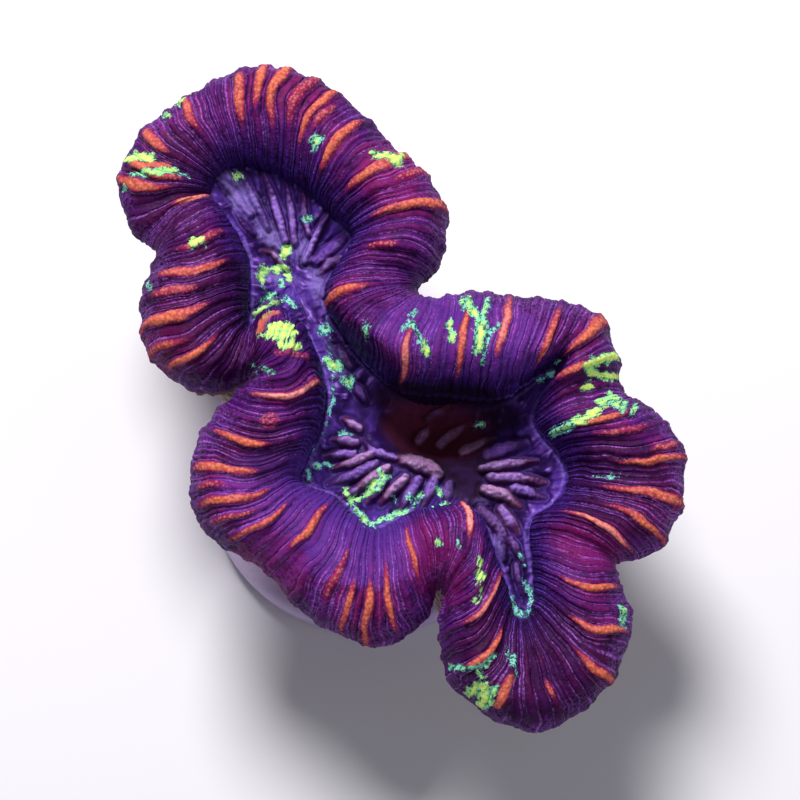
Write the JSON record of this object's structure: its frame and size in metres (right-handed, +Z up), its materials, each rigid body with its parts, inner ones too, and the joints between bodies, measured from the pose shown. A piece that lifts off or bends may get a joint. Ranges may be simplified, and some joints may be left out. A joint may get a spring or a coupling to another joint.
{
  "type": "brain coral",
  "caption": "Open brain coral with ribbed fleshy lobes round a branching valley, standing on a round disc.",
  "frame": {"origin": "centre of the disc's flat underside", "axes": "+Z up through the disc and the coral, +Y away from the viewer of the picture and along the coral's longest way, +X to the viewer's right"},
  "size_m": [0.0835, 0.0993, 0.0466],
  "materials": {
    "coral": "soft wet flesh over a stony skeleton",
    "disc": "matte"
  },
  "bodies": {
    "root": {"coral": "coral", "frag_disc": "disc"}
  },
  "joints": []
}
